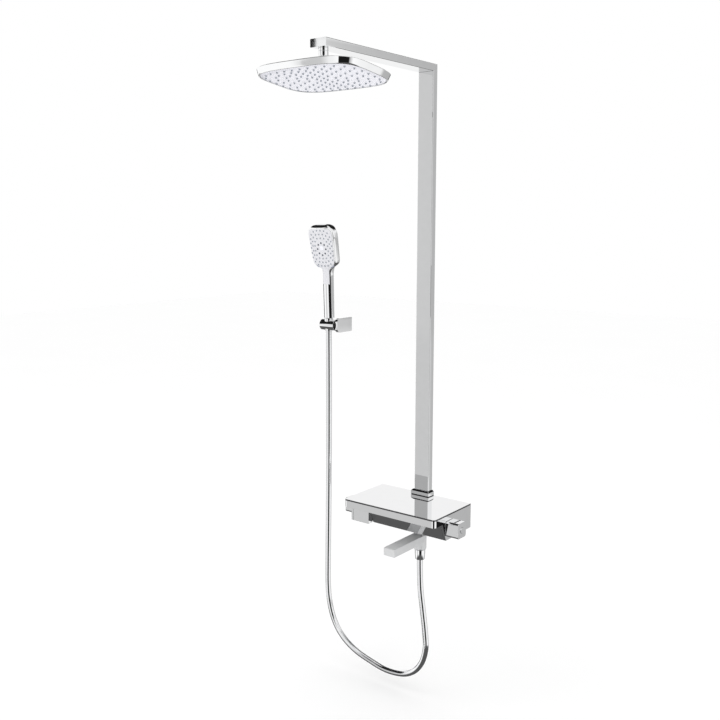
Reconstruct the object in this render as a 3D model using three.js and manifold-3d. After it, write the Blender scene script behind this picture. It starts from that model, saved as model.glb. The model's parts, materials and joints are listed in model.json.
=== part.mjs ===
// Rainfall shower column: a wall mixer under a shelf, a flat riser with an overhead arm,
// a rectangular rain head on a ball joint, a swivel spout and a hand shower in a tilting holder.
// Millimetres. X runs along the wall, the wall is the plane Y = 0 with the room towards -Y,
// and Z is up. The origin is on the wall plate's back, behind the riser, at the height of the inlets.
import * as THREE from "three";
import { mergeVertices } from "three/addons/utils/BufferGeometryUtils.js";
import Module from "manifold-3d";

// ---- driving dimensions ----
const gap = 0.3;                 // clearance between neighbouring pieces
const wallGap = 4;               // the shelf and the riser stand this far off the wall

const shelfWidth = 256;
const shelfDepth = 154;
const shelfTop = 36;
const plateThick = 3;
const fasciaHeight = 19;
const sheet = 2.5;               // wall of the folded covers
const cheekThick = 5.5;          // side cheeks of the shelf housing
const cornerRadius = 8;

const coverFloor = -24;          // underside of the body cover
const coverFront = -110;         // front edge of that underside
const coverLean = 13 / 36;       // the cover's front leans out this much for each mm of height
const coverLeft = -76.5;         // the cover starts here, beside the diverter key
const keyFront = -129;           // front of the diverter key
const keyLeft = -shelfWidth / 2 + cheekThick + gap;
const keyMiddle = (keyLeft + coverLeft - gap) / 2;
const plungerZ = -14.5;          // axis of the diverter's plunger, sleeve and spring
const sleeveRadius = 5;

const barrelY = -95;             // axis of the valve barrel and of both knobs
const barrelZ = 3.5;
const barrelRadius = 17;
const barrelLeft = -70;
const barrelRight = 106;
const inletSpacing = 150;
const outletX = 18;              // centre of the inlets, of the spout and of the hose outlet
const hangY = -50;               // the hose and the hand shower hang in this plane

const knobWide = 34;
const knobTall = 35;
const knobRound = 5;
const knobStart = shelfWidth / 2 + 0.6;
const knobEnd = 160.5;

const barWidth = 40;             // flat riser and arm
const riserDepth = 17;
const armThick = 16;
const barWall = 3;
const armTop = 1032;
const armReach = 390;
const clipZ = 925;               // middle of the riser's wall clip
const collarChamfer = 4;

const ballY = -374;
const ballZ = 985;
const ballRadius = 11;
const headTilt = -7.5;           // degrees about X: the face looks slightly away from the wall
const headHalfWidth = 127.5;
const headHalfDepth = 87.5;
const headSquareness = 3.8;      // exponent of the head's superellipse outline
const headFaceDrop = 28;         // from the ball's centre to the face
const rimHeight = 14;

const spoutWide = 30;
const spoutTop = -49;
const spoutThick = 18;
const spoutTip = -176;
const hubBottom = -84;

const hoseRadius = 7;
const hoseSides = 10;
const hoseStart = -99.8;
const hoseJoin = 112;            // height at which the hose's two stretches meet

const holderX = -262.6;
const holderZ = 431.5;
const holderRadius = 13.5;
const holderLeft = -282;
const bracketRight = -229;
const bracketThick = 8;
const bracketTall = 35;
const bracketReach = 57;

const handsetTilt = 12;          // degrees: the spray face leans out over the handle
const handsetFaceWide = 80;
const handsetChinWide = 70;
const handsetHeadTall = 112;
const handsetThick = 24;
const handsetHeadY = -63.85;
const handsetHeadZ = 623.5;
const gripWide = 25.6;
const gripDeep = 19;             // at the head end; the grip narrows towards its foot
const gripFootDeep = 17;
const gripTop = 575;

// ---- materials ----
const finish = (color, roughness, metalness) =>
  new THREE.MeshStandardMaterial({ color, roughness, metalness });
const chrome = finish(0xc9cbcd, 0.08, 1);
const darkChrome = finish(0x8d8f92, 0.1, 1);
const mirrorPlate = finish(0xe8e9ea, 0.05, 0.6);
const brass = finish(0xb08d4c, 0.35, 1);
const steel = finish(0xa9abad, 0.3, 1);
const whitePlastic = finish(0xeceaf2, 0.3, 0);
const greyPlastic = finish(0x9aa0aa, 0.5, 0);
const blackRubber = finish(0x222222, 0.8, 0);
const hoseSilver = finish(0xd4d6d8, 0.25, 0.4);

// ---- solids: geometry in, manifold out, and back ----
const wasm = await Module();
wasm.setup();

function solidFrom(geometry) {
  const bare = geometry.index ? geometry.toNonIndexed() : geometry.clone();
  bare.deleteAttribute("normal");
  bare.deleteAttribute("uv");
  const merged = mergeVertices(bare, 1e-4);
  const position = merged.attributes.position.array;
  const index = Array.from(merged.index.array);
  const triangles = [];
  let volume = 0;
  const corner = (i) => new THREE.Vector3().fromArray(position, 3 * i);
  for (let i = 0; i < index.length; i += 3) {
    const [a, b, c] = index.slice(i, i + 3);
    if (a === b || b === c || c === a) continue;
    triangles.push([a, b, c]);
    volume += corner(a).dot(corner(b).cross(corner(c)));
  }
  const outward = volume > 0 ? triangles : triangles.map(([a, b, c]) => [a, c, b]);
  const vertProperties = new Float32Array(position);
  const triVerts = new Uint32Array(outward.flat());
  return new wasm.Manifold(new wasm.Mesh({ numProp: 3, vertProperties, triVerts }));
}

function geometryFrom(solid) {
  const mesh = solid.getMesh();
  const geometry = new THREE.BufferGeometry();
  geometry.setAttribute("position", new THREE.BufferAttribute(new Float32Array(mesh.vertProperties), 3));
  geometry.setIndex(new THREE.BufferAttribute(new Uint32Array(mesh.triVerts), 1));
  return geometry;
}

const join = (first, ...others) => others.reduce((sum, other) => sum.add(other), first);
const cut = (first, ...others) => others.reduce((rest, other) => rest.subtract(other), first);

// ---- shapes ----
const block = (x0, x1, y0, y1, z0, z1) =>
  solidFrom(
    new THREE.BoxGeometry(Math.abs(x1 - x0), Math.abs(y1 - y0), Math.abs(z1 - z0)).translate(
      (x0 + x1) / 2,
      (y0 + y1) / 2,
      (z0 + z1) / 2,
    ),
  );

const extrude = (shape, depth, curveSegments = 5) =>
  new THREE.ExtrudeGeometry(shape, { depth, bevelEnabled: false, curveSegments });

// a shape drawn in X,Y and raised from z0 to z1
const raise = (shape, z0, z1, segments) => solidFrom(extrude(shape, z1 - z0, segments).translate(0, 0, z0));

// a shape drawn in Y,Z and run along X from x0 to x1
const alongX = new THREE.Matrix4().makeBasis(
  new THREE.Vector3(0, 1, 0),
  new THREE.Vector3(0, 0, 1),
  new THREE.Vector3(1, 0, 0),
);
const runX = (shape, x0, x1, segments) =>
  solidFrom(extrude(shape, x1 - x0, segments).applyMatrix4(alongX).translate(x0, 0, 0));

// a shape drawn in X,Z and run from the wall side y0 towards the room at y1
const alongY = new THREE.Matrix4().makeBasis(
  new THREE.Vector3(1, 0, 0),
  new THREE.Vector3(0, 0, 1),
  new THREE.Vector3(0, -1, 0),
);
const runY = (shape, y0, y1, segments) =>
  solidFrom(extrude(shape, y0 - y1, segments).applyMatrix4(alongY).translate(0, y0, 0));

const polygon = (points) => new THREE.Shape(points.map(([u, v]) => new THREE.Vector2(u, v)));

// a rectangle centred on (u, v) with one radius for each corner, from low-left anticlockwise
function roundRect(u, v, wide, tall, radii) {
  const [a, b, c, d] = Array.isArray(radii) ? radii : [radii, radii, radii, radii];
  const [left, right, low, high] = [u - wide / 2, u + wide / 2, v - tall / 2, v + tall / 2];
  const quarter = Math.PI / 2;
  const shape = new THREE.Shape();
  shape.moveTo(left + a, low);
  shape.lineTo(right - b, low);
  if (b > 0) shape.absarc(right - b, low + b, b, -quarter, 0, false);
  shape.lineTo(right, high - c);
  if (c > 0) shape.absarc(right - c, high - c, c, 0, quarter, false);
  shape.lineTo(left + d, high);
  if (d > 0) shape.absarc(left + d, high - d, d, quarter, 2 * quarter, false);
  shape.lineTo(left, low + a);
  if (a > 0) shape.absarc(left + a, low + a, a, 2 * quarter, 3 * quarter, false);
  return shape;
}

function superellipse(halfWide, halfDeep, power, count = 44) {
  const arm = (value, size) => size * Math.sign(value) * Math.abs(value) ** (2 / power);
  const points = [];
  for (let i = 0; i < count; i += 1) {
    const angle = (2 * Math.PI * (i + 0.5)) / count;
    points.push([arm(Math.cos(angle), halfWide), arm(Math.sin(angle), halfDeep)]);
  }
  return polygon(points);
}

// a round bar from a to b along the axis, through (p, q) in the two other directions
function rod(axis, p, q, a, b, radius, endRadius = radius, segments = 18) {
  const bar = new THREE.CylinderGeometry(endRadius, radius, b - a, segments).translate(0, (a + b) / 2, 0);
  if (axis === "x") return solidFrom(bar.rotateZ(-Math.PI / 2).translate(0, p, q));
  if (axis === "y") return solidFrom(bar.translate(p, 0, q));
  return solidFrom(bar.rotateX(Math.PI / 2).translate(p, q, 0));
}

// a closed profile of [radius, height] turned about the vertical through (x, y)
function turn(profile, x, y, segments = 24) {
  const points = [...profile, profile[0]].map(([radius, height]) => new THREE.Vector2(radius, height));
  return solidFrom(new THREE.LatheGeometry(points, segments).rotateX(Math.PI / 2).translate(x, y, 0));
}

const ring = (axis, p, q, a, b, outer, inner, segments) =>
  cut(rod(axis, p, q, a, b, outer, outer, segments), rod(axis, p, q, a - 1, b + 1, inner, inner, segments));

// ---- the assembly ----
const column = new THREE.Group();

function place(name, solid, material, parent = column) {
  const mesh = new THREE.Mesh(geometryFrom(solid), material);
  mesh.name = name;
  parent.add(mesh);
}

function wallAndInlets() {
  const plate = runY(roundRect(outletX, 0, inletSpacing + 30, 44, 6), 0, -3);
  const sides = { left: outletX - inletSpacing / 2, right: outletX + inletSpacing / 2 };
  place("wall_plate", cut(plate, ...Object.values(sides).map((x) => rod("y", x, 0, -4, 1, 12.5))), steel);
  for (const [side, x] of Object.entries(sides)) {
    place(`inlet_union_${side}`, ring("y", x, 0, -21.5, -0.2, 10.5, 7.5), brass);
    const hexagon = rod("y", x, 0, -23.6, -12, 17.3, 17.3, 6);
    place(`inlet_nut_${side}`, cut(hexagon, rod("y", x, 0, -25, -11, 10.8)), chrome);
  }
}

function valveBody() {
  const boreRadius = 13.5;
  const barrel = rod("x", barrelY, barrelZ, barrelLeft, barrelRight, barrelRadius);
  const inletX = [outletX - inletSpacing / 2, outletX + inletSpacing / 2];
  const inlets = inletX.map((x) => rod("y", x, 0, barrelY, -24, 13));
  const outletBoss = block(outletX - 14, outletX + 14, -90, -35, -18, 12);
  const riserBoss = block(-13, outletX + 14, -60, -6, 5, 22);
  const diverterBoss = block(keyMiddle - 8.5, inletX[0], -78, -54, coverFloor + sheet + gap, -4);
  const casting = join(barrel, ...inlets, outletBoss, riserBoss, diverterBoss);
  const bored = cut(
    casting,
    rod("x", barrelY, barrelZ, barrelLeft - 1, -14, boreRadius),
    rod("x", barrelY, barrelZ, 50, barrelRight + 1, boreRadius),
    ...inletX.map((x) => rod("y", x, 0, -90, -23, 7)),
    rod("y", keyMiddle, plungerZ, -79, -53, sleeveRadius + gap),
    rod("z", outletX, hangY, -19, 4, 8),
    rod("z", 0, -12.5, 12, 23, 4.5),
  );
  place("valve_body", bored, brass);
}

function bodyCover() {
  const frontAt = (z) => coverFront - (z - coverFloor) * coverLean;
  const top = shelfTop - plateThick - gap - sheet - 2 * gap - 0.5;
  const inner = sheet * Math.hypot(1, coverLean);
  const fold = polygon([
    [-8, coverFloor],
    [coverFront, coverFloor],
    [frontAt(top), top],
    [frontAt(top) + inner, top],
    [frontAt(coverFloor + sheet) + inner, coverFloor + sheet],
    [-8, coverFloor + sheet],
  ]);
  const front = runX(fold, coverLeft, shelfWidth / 2 - cheekThick - gap);
  const tray = block(keyLeft, coverLeft + 1, -108, -8, coverFloor, coverFloor + sheet);
  place("body_cover", cut(join(front, tray), rod("z", outletX, hangY, coverFloor - 1, -20, 11)), darkChrome);
}

function housing() {
  const half = shelfWidth / 2;
  const back = -wallGap;
  const front = back - shelfDepth;
  const top = shelfTop - plateThick - gap;
  const fasciaFoot = shelfTop - fasciaHeight;
  const lid = block(-half, half, front, back, top - sheet, top);
  const fascia = block(-half, half, front, front + sheet, fasciaFoot, top);
  const cheek = (lowFront) =>
    polygon([
      [back, top],
      [back, coverFloor + 2.6],
      [coverFront, coverFloor],
      ...lowFront,
      [front, fasciaFoot],
      [front, top],
    ]);
  const slanted = [[coverFront - (fasciaFoot - coverFloor) * coverLean, fasciaFoot]];
  const upright = [
    [keyFront, coverFloor + 0.5],
    [keyFront, fasciaFoot],
  ];
  const right = runX(cheek(slanted), half - cheekThick, half);
  const left = runX(cheek(upright), -half, -half + cheekThick);
  const frontCorners = [cornerRadius, cornerRadius, 0, 0];
  const outline = roundRect(0, (front + back) / 2, shelfWidth, shelfDepth, frontCorners);
  const rounded = join(lid, fascia, right, left).intersect(raise(outline, coverFloor - 5, shelfTop));
  const spindleHoles = rod("x", barrelY, barrelZ, -half - 1, half + 1, 15);
  const riserNotch = block(-17.6, 17.6, -19, back + 1, top - 5, top + 1);
  place("shelf_housing", cut(rounded, spindleHoles, riserNotch), chrome);

  const plate = raise(outline, shelfTop - plateThick, shelfTop);
  place("shelf_top_plate", cut(plate, block(-17.6, 17.6, -18.8, -6.2, 20, 50)), mirrorPlate);
}

function cartridges() {
  for (const [side, sign] of [["thermostatic", 1], ["flow", -1]]) {
    const span = (a, b) => (sign > 0 ? [a, b] : [-b, -a]);
    const bar = (a, b, radius) => rod("x", barrelY, barrelZ, ...span(a, b), radius);
    const body = bar(52, 126, 13);
    place(`${side}_cartridge`, cut(body, bar(117.4, 127, 4.3)), greyPlastic);
  }
}

// one end control; sign +1 is the temperature knob at the right, -1 the flow knob at the left
function knob(name, sign) {
  const span = (a, b) => (sign > 0 ? [a, b] : [-b, -a]);
  const bar = (a, b, radius, segments) => rod("x", barrelY, barrelZ, ...span(a, b), radius, radius, segments);
  const outer = runX(roundRect(barrelY, barrelZ, knobWide, knobTall, knobRound), ...span(knobStart, knobEnd));
  const hollow = cut(outer, bar(knobStart - 1, 147.8, 13));
  const hub = bar(132, 148.5, 7);
  const shell = cut(join(hollow, hub), bar(131, 147.4, 4.15), bar(147, 151, 2.3, 16), bar(150, 162, 6.9));
  place(`${name}_knob`, shell, chrome);
  const spindle = cut(bar(118, 147.1, 3.95), bar(141, 148, 2.3, 16));
  place(`${name}_spindle`, spindle, brass);
  place(`${name}_knob_screw`, join(bar(142, 150.4, 2, 16), bar(150.3, 152.2, 3.4, 16)), steel);
}

function knobButtons() {
  place("safety_button", rod("x", barrelY, barrelZ, 155, 161.6, 6.6), darkChrome);
  place("safety_button_spring", ring("x", barrelY, barrelZ, 150.4, 153, 5.6, 4.3), steel);
  place("flow_knob_cap", rod("x", barrelY, barrelZ, -160.2, -154, 6.6), chrome);
}

function diverterKey() {
  const back = keyFront + 15.5;
  const keyZ = [coverFloor + 0.5, shelfTop - plateThick - gap - sheet - 1];
  const keyRight = coverLeft - gap;
  const outer = block(keyLeft, keyRight, keyFront, back, ...keyZ);
  const hollowZ = [keyZ[0] + sheet, keyZ[1] - sheet];
  const pocket = block(keyLeft + sheet, keyRight - sheet, keyFront + 3, back + 1, ...hollowZ);
  const post = block(keyMiddle - 5, keyMiddle + 5, keyFront + 2, back - 1, plungerZ - 5, plungerZ + 5);
  place("diverter_key", join(cut(outer, pocket), post), darkChrome);
  place("diverter_plunger", rod("y", keyMiddle, plungerZ, -66, back - 1 + gap, 2.5, 2.5, 16), steel);
  place("diverter_spring", ring("y", keyMiddle, plungerZ, -110, -81.3, 4.2, 3, 16), steel);
  const sleeve = rod("y", keyMiddle, plungerZ, -81, -50, sleeveRadius);
  place("diverter_cartridge", cut(sleeve, rod("y", keyMiddle, plungerZ, -82, -60, 2.8, 2.8, 16)), greyPlastic);
}

function outletAndSpout() {
  const stem = ring("z", outletX, hangY, -98, -18.3, 10.05, 6.5);
  const grooves = [-53, -80].map((z) => ring("z", outletX, hangY, z - 1.2, z + 1.2, 12, 8.4));
  const feed = rod("y", outletX, -58.3, hangY - 15, hangY + 15, 4);
  place("outlet_stem", cut(stem, ...grooves, feed), brass);
  const collar = ring("z", outletX, hangY, spoutTop + gap, coverFloor - gap, 14.2, 10.4);
  place("outlet_collar", collar, chrome);
  place("spout_oring_upper", ring("z", outletX, hangY, -54, -52, 10.3, 8.6), blackRubber);
  place("spout_oring_lower", ring("z", outletX, hangY, -81, -79, 10.3, 8.6), blackRubber);

  const hubRadius = spoutWide / 2;
  const spoutFloor = spoutTop - spoutThick;
  const bar = block(outletX - hubRadius, outletX + hubRadius, spoutTip, hangY, spoutFloor, spoutTop);
  const hub = rod("z", outletX, hangY, hubBottom, spoutTop, hubRadius, hubRadius, 32);
  const channel = block(outletX - 9, outletX + 9, spoutTip + 8, hangY - 5, spoutTop - 14, spoutTop - 4);
  const mouth = rod("z", outletX, spoutTip + 18, -70, spoutTop - 8, 9);
  const bore = rod("z", outletX, hangY, hubBottom - 1, spoutTop + 1, 10.4, 10.4, 32);
  place("spout_body", cut(join(bar, hub), channel, mouth, bore), chrome);
  const aerator = rod("z", outletX, spoutTip + 18, -66.8, -61.5, 8.7);
  place("spout_aerator", cut(aerator, rod("z", outletX, spoutTip + 18, -67.5, -64.5, 7)), greyPlastic);
  const retaining = ring("z", outletX, hangY, hubBottom - 2.8, hubBottom - gap, 13.6, 10.35);
  place("spout_retaining_ring", retaining, steel);
  const nut = [
    [10.4, hubBottom - 3.1],
    [12.4, hubBottom - 3.1],
    [12.4, hubBottom - 12],
    [11.2, -111],
    [7.4, -111],
    [7.4, -98.8],
    [10.4, -98.8],
  ];
  place("hose_nut", turn(nut, outletX, hangY), chrome);
}

// the mitre plane runs from the outer corner of the bend to its inner corner
function mitreSide(towardsArm) {
  const outer = new THREE.Vector2(-wallGap, armTop);
  const inner = new THREE.Vector2(-wallGap - riserDepth, armTop - armThick);
  const along = inner.clone().sub(outer).normalize();
  const across = new THREE.Vector2(along.y, -along.x).multiplyScalar(towardsArm ? 1 : -1);
  const start = outer.clone().addScaledVector(along, -40).addScaledVector(across, -gap / 2);
  const end = inner.clone().addScaledVector(along, 40).addScaledVector(across, -gap / 2);
  const shift = across.multiplyScalar(60);
  const corners = [start, end, end.clone().add(shift), start.clone().add(shift)];
  return runX(polygon(corners.map((corner) => [corner.x, corner.y])), -barWidth, barWidth);
}

function riserAndArm() {
  const middleY = -wallGap - riserDepth / 2;
  const foot = shelfTop + gap;
  const riserOutside = raise(roundRect(0, middleY, barWidth, riserDepth, 1.5), foot, armTop, 2);
  const riserInside = block(
    -barWidth / 2 + barWall,
    barWidth / 2 - barWall,
    middleY - riserDepth / 2 + barWall,
    middleY + riserDepth / 2 - barWall,
    foot - 1,
    armTop + 1,
  );
  const upper = mitreSide(true);
  const lower = mitreSide(false);
  place("riser_column", cut(riserOutside, riserInside, upper), chrome);

  const middleZ = armTop - armThick / 2;
  const armOutside = runY(roundRect(0, middleZ, barWidth, armThick, 1.5), -wallGap, -armReach, 2);
  const armInside = block(
    -barWidth / 2 + barWall,
    barWidth / 2 - barWall,
    -armReach + 4,
    0,
    armTop - armThick + barWall,
    armTop - barWall,
  );
  const outlet = rod("z", 0, ballY, armTop - armThick - 1, middleZ, 5);
  place("overhead_arm", cut(armOutside, armInside, outlet, lower), chrome);

  const socket = block(-16.6, 16.6, middleY - 5.2, middleY + 5.2, 22.3, 58);
  place("riser_socket", cut(socket, rod("z", 0, middleY, 20, 60, 4)), brass);
  // a U around the riser's foot, with its upper outer edges chamfered
  const wrap = (z0, z1, grow, frontGrow, chamfer) => {
    const halfWide = barWidth / 2 + grow;
    const front = -wallGap - riserDepth - frontGrow;
    const outer = block(-halfWide, halfWide, front, -wallGap - gap, z0, z1);
    const halfIn = barWidth / 2 + gap;
    const inner = block(-halfIn, halfIn, -wallGap - riserDepth - gap, 0, z0 - 1, z1 + 1);
    if (chamfer === 0) return cut(outer, inner);
    const wedge = (edge, inwards) =>
      polygon([
        [edge - inwards, z1 - chamfer - 1],
        [edge + (chamfer + 1) * inwards, z1 + 1],
        [edge - inwards, z1 + 1],
      ]);
    const sides = [-1, 1].map((side) => runY(wedge(side * halfWide, -side), 0, front - 1));
    return cut(outer, inner, ...sides, runX(wedge(front, 1), -halfWide - 1, halfWide + 1));
  };
  place("foot_gasket", wrap(shelfTop + 0.2, shelfTop + 1, 5, 6.5, 0), blackRubber);
  place("foot_collar", wrap(shelfTop + 1.3, shelfTop + 13, 5.5, 7, collarChamfer), chrome);

  const clip = runY(roundRect(0, clipZ, 26, 44, 3), 0, -3.6);
  const countersink = rod("y", 0, clipZ, -4, -1.6, 5);
  place("riser_wall_clip", cut(clip, rod("y", 0, clipZ, -4, 1, 2.6), countersink), steel);
  const shank = rod("y", 0, clipZ, -3.3, -0.1, 2.3, 2.3, 16);
  place("riser_clip_screw", join(shank, rod("y", 0, clipZ, -3.4, -1.9, 4.6, 4.6, 16)), steel);
}

// points of a spherical zone from height a to height b, as [radius, height]
function sphereArc(radius, a, b, steps) {
  const from = Math.asin(a / radius);
  const to = Math.asin(b / radius);
  return Array.from({ length: steps + 1 }, (_, i) => {
    const angle = from + ((to - from) * i) / steps;
    return [radius * Math.cos(angle), radius * Math.sin(angle)];
  });
}

function ballJointAndHead() {
  const armUnder = armTop - armThick;
  const lift = (profile) => profile.map(([radius, height]) => [radius, height + ballZ]);
  const neckRadius = 5.5;
  const waterRadius = 3.2;
  const low = -Math.sqrt(ballRadius ** 2 - waterRadius ** 2);
  const high = Math.sqrt(ballRadius ** 2 - neckRadius ** 2);
  const nipple = [
    [waterRadius, low + ballZ],
    ...lift(sphereArc(ballRadius, low + 0.01, high, 7)),
    [neckRadius, ballZ + 16],
    [9.5, ballZ + 16],
    [9.5, armUnder - gap],
    [4.7, armUnder - gap],
    [4.7, armUnder + 2.5],
    [waterRadius, armUnder + 2.5],
  ];
  place("arm_ball_nipple", turn(nipple, 0, ballY), chrome);

  const shell = (inner, outer) => [...sphereArc(outer, -7, 5.5, 4), ...sphereArc(inner, 5.5, -7, 4)];
  place("ball_seat_inner", turn(lift(shell(11.25, 12)), 0, ballY), whitePlastic);
  place("ball_seat_outer", turn(lift(shell(12.25, 13)), 0, ballY), whitePlastic);

  const head = new THREE.Group();
  head.position.set(0, ballY, ballZ);
  head.rotation.x = THREE.MathUtils.degToRad(headTilt);
  column.add(head);

  const nut = [
    [13.3, -10],
    [17.5, -10],
    [17.5, 6],
    [14.5, 9],
    ...sphereArc(13.3, 9, 0, 4),
  ];
  place("ball_nut", turn(nut, 0, 0), chrome, head);

  const face = -headFaceDrop;
  const back = face + rimHeight;
  const outline = (inset) => superellipse(headHalfWidth - inset, headHalfDepth - inset, headSquareness);
  const outside = raise(outline(0), face + 0.4, back);
  const inside = raise(outline(2.2), face - 1, back - 2);
  const boss = rod("z", 0, 0, back - 1, -10.3, 17.5);
  place("head_shell", cut(join(cut(outside, inside), boss), rod("z", 0, 0, back - 3, -9, 6)), chrome, head);
  place("head_face", raise(outline(2.6), face, face + 3), whitePlastic, head);
  place("head_nozzle_mat", raise(outline(9), face + 3.3, face + 5.3), greyPlastic, head);
  const waterPlate = raise(outline(5), face + 5.6, face + 7.6);
  place("head_water_plate", cut(waterPlate, rod("z", 0, 0, face + 5, face + 8, 6)), whitePlastic, head);
}

function bracketAndHolder() {
  const bracketLeft = bracketRight - bracketThick;
  const side = roundRect(-bracketReach / 2, holderZ, bracketReach, bracketTall, [10, 0, 0, 10]);
  const arm = runX(side, bracketLeft, bracketRight);
  const middleX = bracketRight - bracketThick / 2;
  const pivotHole = rod("x", hangY, holderZ, bracketLeft - 1, bracketRight - 2.5, 3.3, 3.3, 20);
  const studHole = rod("y", middleX, holderZ, -26, 1, 2.4, 2.4, 16);
  place("holder_bracket", cut(arm, pivotHole, studHole), chrome);
  place("bracket_wall_stud", rod("y", middleX, holderZ, -25, -0.2, 2.1, 2.1, 16), steel);
  place("holder_pivot_pin", rod("x", hangY, holderZ, bracketLeft - 14, bracketRight - 2.8, 3, 3, 20), steel);
  const washer = ring("x", hangY, holderZ, bracketLeft - 1.3, bracketLeft - gap, 9, 3.4);
  place("holder_friction_washer", washer, blackRubber);

  const drum = rod("x", hangY, holderZ, holderLeft, bracketLeft - 1.6, holderRadius, holderRadius, 36);
  const cone = rod("z", holderX, hangY, holderZ - 15, holderZ + 15, 9.45, 11.05, 36);
  const pinHole = rod("x", hangY, holderZ, bracketLeft - 14.6, bracketLeft, 3.3, 3.3, 20);
  place("handset_holder", cut(drum, cone, pinHole), chrome);
}

function handset() {
  const coneNut = [
    [9.1, holderZ - 15],
    [10.75, holderZ + 16.5],
    [4.6, holderZ + 16.5],
    [4.6, holderZ + 1],
    [7.4, holderZ + 1],
    [7.4, holderZ - 15],
  ];
  place("hose_cone_nut", turn(coneNut, holderX, hangY), chrome);

  const gripFoot = holderZ + 17;
  const neckY = hangY - 3.6;
  const grip = polygon([
    [hangY + gripFootDeep / 2, gripFoot],
    [neckY + gripDeep / 2, gripTop],
    [neckY - gripDeep / 2, gripTop],
    [hangY - gripFootDeep / 2, gripFoot],
  ]);
  const gripSolid = runX(grip, holderX - gripWide / 2, holderX + gripWide / 2);

  const tilt = new THREE.Matrix4()
    .makeTranslation(holderX, handsetHeadY, handsetHeadZ)
    .multiply(new THREE.Matrix4().makeRotationX(THREE.MathUtils.degToRad(handsetTilt)));
  // the head's outline, drawn in X and height and run through its thickness
  const outline = (inset) => {
    const top = handsetHeadTall / 2 - inset;
    const halfTop = handsetFaceWide / 2 - inset;
    const halfChin = handsetChinWide / 2 - inset;
    const round = 16 - inset;
    const shape = new THREE.Shape();
    shape.moveTo(-halfChin + round, -top);
    shape.lineTo(halfChin - round, -top);
    shape.quadraticCurveTo(halfChin, -top, halfChin + 1, -top + round);
    shape.lineTo(halfTop, top - round);
    shape.quadraticCurveTo(halfTop, top, halfTop - round, top);
    shape.lineTo(-halfTop + round, top);
    shape.quadraticCurveTo(-halfTop, top, -halfTop, top - round);
    shape.lineTo(-halfChin - 1, -top + round);
    shape.quadraticCurveTo(-halfChin, -top, -halfChin + round, -top);
    return shape;
  };
  const slab = (inset, from, to) => {
    const geometry = extrude(outline(inset), from - to, 4).applyMatrix4(alongY).translate(0, from, 0);
    return solidFrom(geometry.applyMatrix4(tilt));
  };
  const half = handsetThick / 2;
  const headOutside = slab(0, half, -half + 0.6);
  const recess = slab(2.8, half - 3, -half - 2);
  const waterway = rod("z", holderX, hangY - 1.8, gripFoot - 1, 590, 4.8, 4.8, 16);
  place("handset_body", cut(join(headOutside, gripSolid), recess, waterway), chrome);

  const frontRod = (from, to, radius) => {
    const bar = new THREE.CylinderGeometry(radius, radius, from - to, 24).translate(0, (from + to) / 2, 0);
    return solidFrom(bar.applyMatrix4(tilt));
  };
  place("handset_face", cut(slab(3.1, -half + 3.2, -half), frontRod(0, -half - 1, 6.2)), whitePlastic);
  place("handset_nozzle_mat", cut(slab(7, -half + 5.5, -half + 3.5), frontRod(0, -half, 7)), greyPlastic);
  place("spray_button", frontRod(-half + 6.5, -half - 0.4, 5.9), whitePlastic);
  const spring = cut(frontRod(-half + 8.7, -half + 8.1, 5), frontRod(-half + 9, -half + 7, 3.6));
  place("spray_button_spring", spring, steel);
}

// The hose hangs from the hand shower's cone nut to the mixer's outlet, in the plane Y = hangY.
// Each point is [x, z].
const hosePoints = [
  [18, -125],
  [20.5, -185],
  [28, -240],
  [35, -292],
  [37.5, -332],
  [28, -371],
  [7.5, -401],
  [-20, -419],
  [-53, -427],
  [-88, -428],
  [-122, -422],
  [-182, -405],
  [-224, -378],
  [-250, -342],
  [-265, -294],
  [-269.5, -250],
  [-269.5, -200],
  [-267, -76],
  [-265, 50],
];

function hose() {
  const upperPoints = [
    [-264.2, hoseJoin],
    [-263, 250],
    [holderX, 340],
    [holderX, holderZ],
  ];
  const route = [[outletX, hoseStart], ...hosePoints, ...upperPoints];
  const curve = new THREE.CatmullRomCurve3(
    route.map(([x, z]) => new THREE.Vector3(x, hangY, z)),
    false,
    "centripetal",
  );
  const section = polygon(
    Array.from({ length: hoseSides }, (_, i) => {
      const angle = (2 * Math.PI * (i + 0.5)) / hoseSides;
      return [hoseRadius * Math.cos(angle), hoseRadius * Math.sin(angle)];
    }),
  );
  const stretch = (from, to, steps) => {
    const points = [];
    for (let i = 0; i <= 240; i += 1) points.push(curve.getPoint(from + ((to - from) * i) / 240));
    const part = new THREE.CatmullRomCurve3(points);
    part.arcLengthDivisions = 1000;
    return solidFrom(new THREE.ExtrudeGeometry(section, { steps, bevelEnabled: false, extrudePath: part }));
  };
  const joinShare = (hosePoints.length + 1) / (route.length - 1);
  const trim = (z0, z1) => block(-300, -200, -80, 0, z0, z1);
  place("shower_hose_lower", cut(stretch(0, joinShare, 34), trim(hoseJoin - gap / 2, 200)), hoseSilver);
  const upper = cut(stretch(joinShare, 1, 9), trim(0, hoseJoin + gap / 2), trim(holderZ + 0.5, 500));
  place("shower_hose_upper", upper, hoseSilver);
}

wallAndInlets();
valveBody();
bodyCover();
housing();
cartridges();
knob("temperature", 1);
knob("flow", -1);
knobButtons();
diverterKey();
outletAndSpout();
riserAndArm();
ballJointAndHead();
bracketAndHolder();
handset();
hose();

export default column;
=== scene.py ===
"""Looks for the rainfall shower column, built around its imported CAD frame."""

import json
from math import asin, cos, pi, radians, sin

import bmesh
import bpy
from mathutils import Matrix, Vector


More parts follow.
